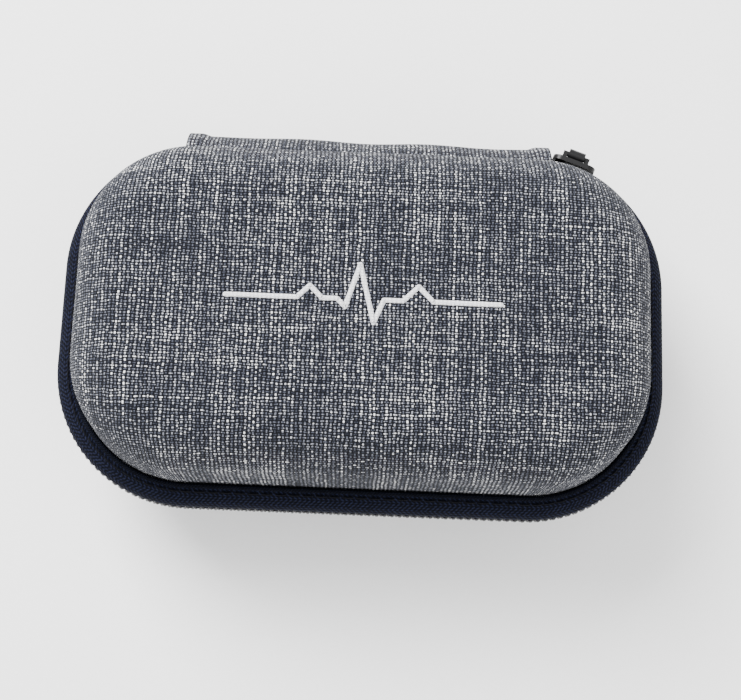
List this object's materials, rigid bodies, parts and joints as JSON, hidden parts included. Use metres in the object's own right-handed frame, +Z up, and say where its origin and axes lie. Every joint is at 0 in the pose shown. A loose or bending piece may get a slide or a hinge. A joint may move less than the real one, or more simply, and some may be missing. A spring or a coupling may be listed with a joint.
{
  "type": "fingertip pulse oximeter in a moulded case",
  "caption": "Moulded zip case with a cloth-covered shell, holding a fingertip pulse oximeter in a foam nest.",
  "frame": {"origin": "middle of the flat face that the case rests on", "axes": "+X along the case, +Y to the cloth spine, +Z up; the closed case lies on its base"},
  "size_m": [0.12, 0.077, 0.0521],
  "materials": {
    "melange_cloth": "plain woven polyester, two-tone",
    "moulded_foam": "hot-moulded EVA foam",
    "lining_cloth": "brushed knit",
    "binding_tape": "woven tape",
    "zip_tape": "herringbone twill tape",
    "zip_coil": "coiled nylon monofilament",
    "slider_metal": "black enamel on die-cast zinc",
    "cut_foam": "cut open-cell foam",
    "net": "warp-knit net",
    "elastic": "ribbed elastic tape",
    "print_ink": "screen print",
    "white_abs": "injection moulded",
    "grey_abs": "injection moulded, fine texture",
    "cell_jacket": "shrink sleeve over steel can",
    "nickel_plate": "nickel plated",
    "silicone": "moulded silicone",
    "lens": "clear epoxy",
    "steel": "zinc plated",
    "window_acrylic": "polished dark acrylic",
    "display_black": "display behind glass",
    "board_green": "solder mask",
    "button_abs": "injection moulded"
  },
  "bodies": {
    "case_base": {"base_fabric_skin": "melange_cloth", "base_moulded_shell": "moulded_foam", "base_lining": "lining_cloth", "base_edge_binding": "binding_tape", "base_zip_tape": "zip_tape", "base_zip_teeth": "zip_coil", "spine_cover_base_half": "melange_cloth", "foam_nest": "cut_foam", "oximeter_lower_housing": "white_abs", "battery_door": "grey_abs", "battery_left": "cell_jacket", "battery_right": "cell_jacket", "contact_plates": "nickel_plate", "contact_springs": "nickel_plate", "lower_frame": "grey_abs", "lower_finger_pad": "silicone", "light_sensor": "lens", "lower_screws": "steel", "hinge_pin": "steel", "torsion_spring": "steel"},
    "lid": {"lid_fabric_skin": "melange_cloth", "lid_moulded_shell": "moulded_foam", "lid_lining": "lining_cloth", "lid_edge_binding": "binding_tape", "lid_zip_tape": "zip_tape", "lid_zip_teeth": "zip_coil", "spine_cover_lid_half": "melange_cloth", "pocket_net": "net", "pocket_hem": "binding_tape", "pocket_elastic": "elastic", "printed_mark": "print_ink"},
    "zip_slider": {"zip_slider": "slider_metal"},
    "zip_pull": {"zip_pull": "slider_metal"},
    "oximeter_upper": {"oximeter_upper_housing": "white_abs", "display_window": "window_acrylic", "display_module": "display_black", "circuit_board": "board_green", "button_switch": "nickel_plate", "upper_frame": "grey_abs", "upper_finger_pad": "silicone", "light_emitter": "lens", "upper_screws": "steel"},
    "power_button": {"power_button": "button_abs"}
  },
  "joints": [
    {"name": "lid_hinge", "type": "hinge", "parent": "case_base", "child": "lid", "pos_m": [0, 0.0387, 0.026], "axis": [-1, 0, 0], "range_deg": [0, 178]},
    {"name": "zip_slider_run", "type": "hinge", "parent": "case_base", "child": "zip_slider", "pos_m": [0.03275, 0.00975, 0.026], "axis": [0, 0, -1], "range_deg": [0, 60]},
    {"name": "zip_pull_swing", "type": "hinge", "parent": "zip_slider", "child": "zip_pull", "pos_m": [0.04283, 0.03822, 0.026], "axis": [0.9426, -0.3338, 0], "range_deg": [0, 180]},
    {"name": "jaw_hinge", "type": "hinge", "parent": "case_base", "child": "oximeter_upper", "pos_m": [0.012, 0, 0.02105], "axis": [0, 1, 0], "range_deg": [0, 14], "stiffness_Nm_per_rad": 0.1, "springref_deg": -20.05},
    {"name": "power_button_press", "type": "slide", "parent": "oximeter_upper", "child": "power_button", "axis": [0, 0, -1], "range_m": [0, 0.0006], "stiffness_N_per_m": 800, "springref_m": -0.0005}
  ]
}
